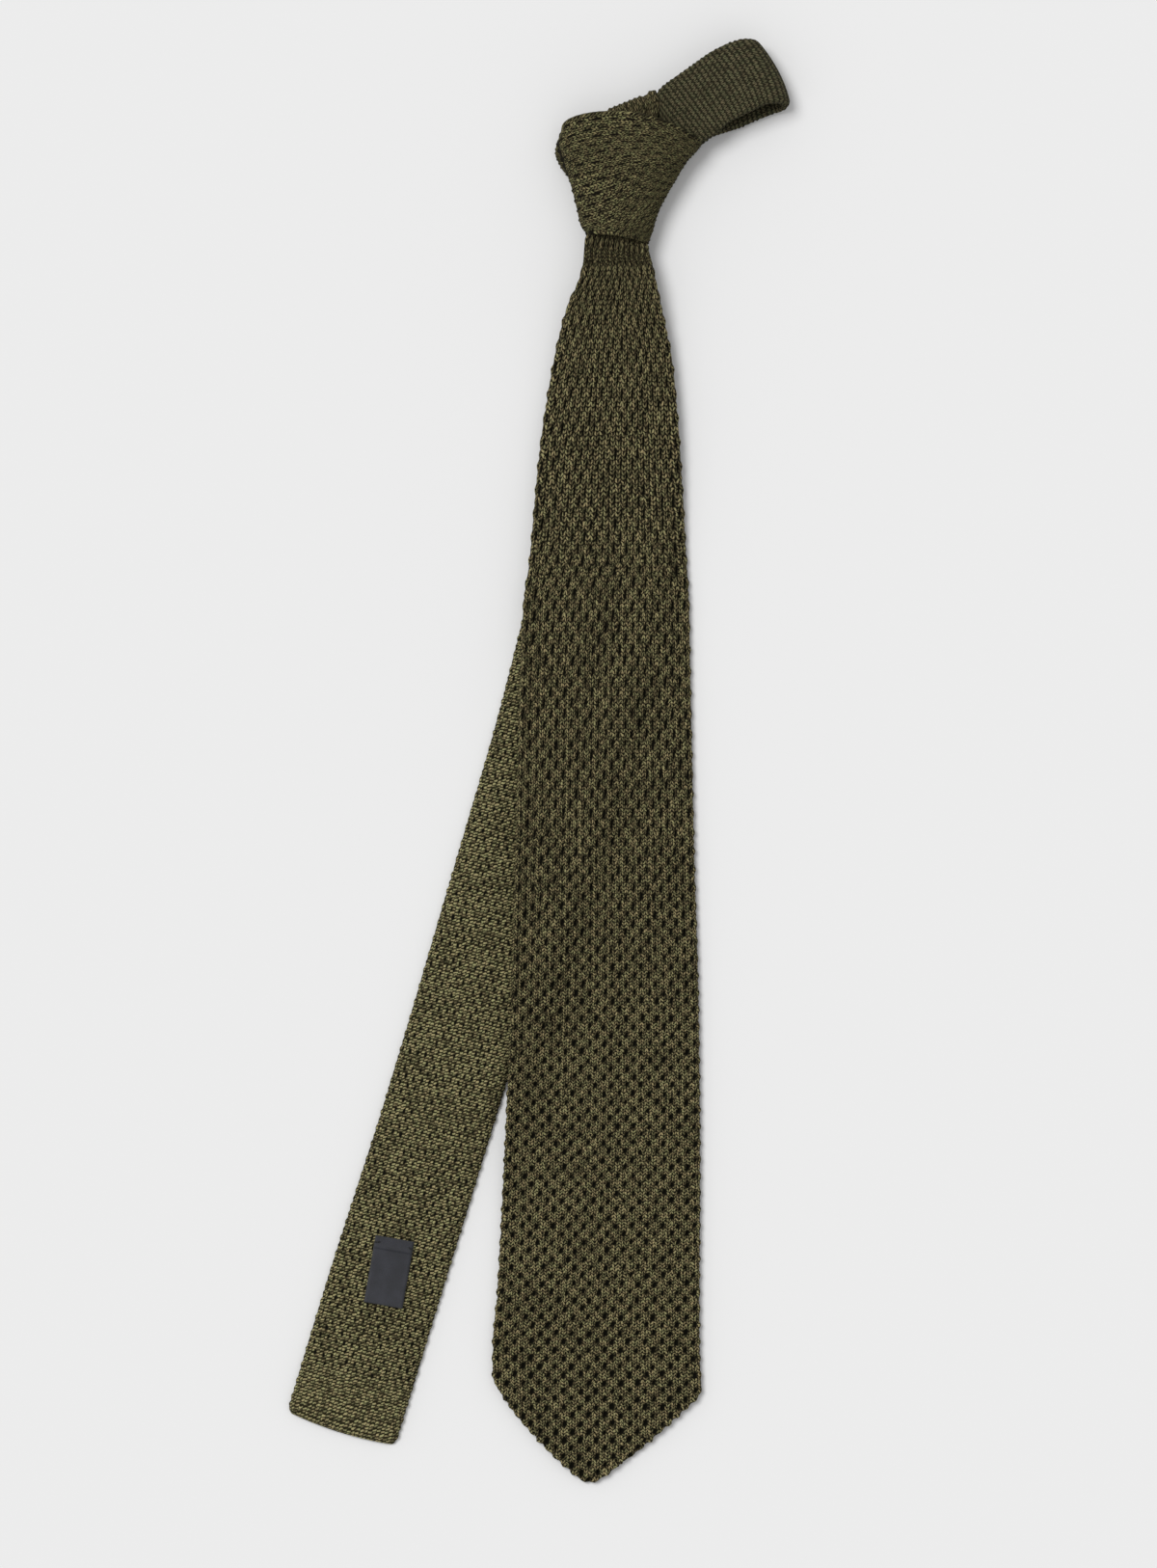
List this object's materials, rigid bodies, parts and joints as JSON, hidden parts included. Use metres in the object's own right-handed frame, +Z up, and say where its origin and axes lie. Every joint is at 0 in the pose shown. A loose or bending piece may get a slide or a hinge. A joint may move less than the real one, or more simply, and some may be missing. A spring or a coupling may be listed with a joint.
{
  "type": "knit tie",
  "caption": "Knitted wool necktie tied in a four-in-hand knot and laid flat: wide blade with a pointed tip, narrow blade with a square end drawn aside, folded neck loop, plain ribbon label.",
  "frame": {"origin": "On the floor under the wide blade, 93 mm from its pointed tip, on the blade's flat lower face", "axes": "+Y runs along the tie from the pointed tip to the knot, +X is to the right as the tie lies face up, +Z is up from the floor"},
  "size_m": [0.1812, 0.5223, 0.0164],
  "materials": {
    "wide_blade_knit": "openwork olive wool knit, right side",
    "narrow_blade_knit": "olive wool knit, back side with a plain centre strip",
    "neck_loop_knit": "olive wool knit band, fine ribs",
    "knot_wrap_knit": "olive wool knit, drawn tight, stitch rows across",
    "label_ribbon": "charcoal woven ribbon, bare"
  },
  "bodies": {
    "root": {"wide_blade": "wide_blade_knit", "narrow_blade": "narrow_blade_knit", "neck_loop": "neck_loop_knit", "knot_wrap": "knot_wrap_knit", "label": "label_ribbon"}
  },
  "joints": []
}
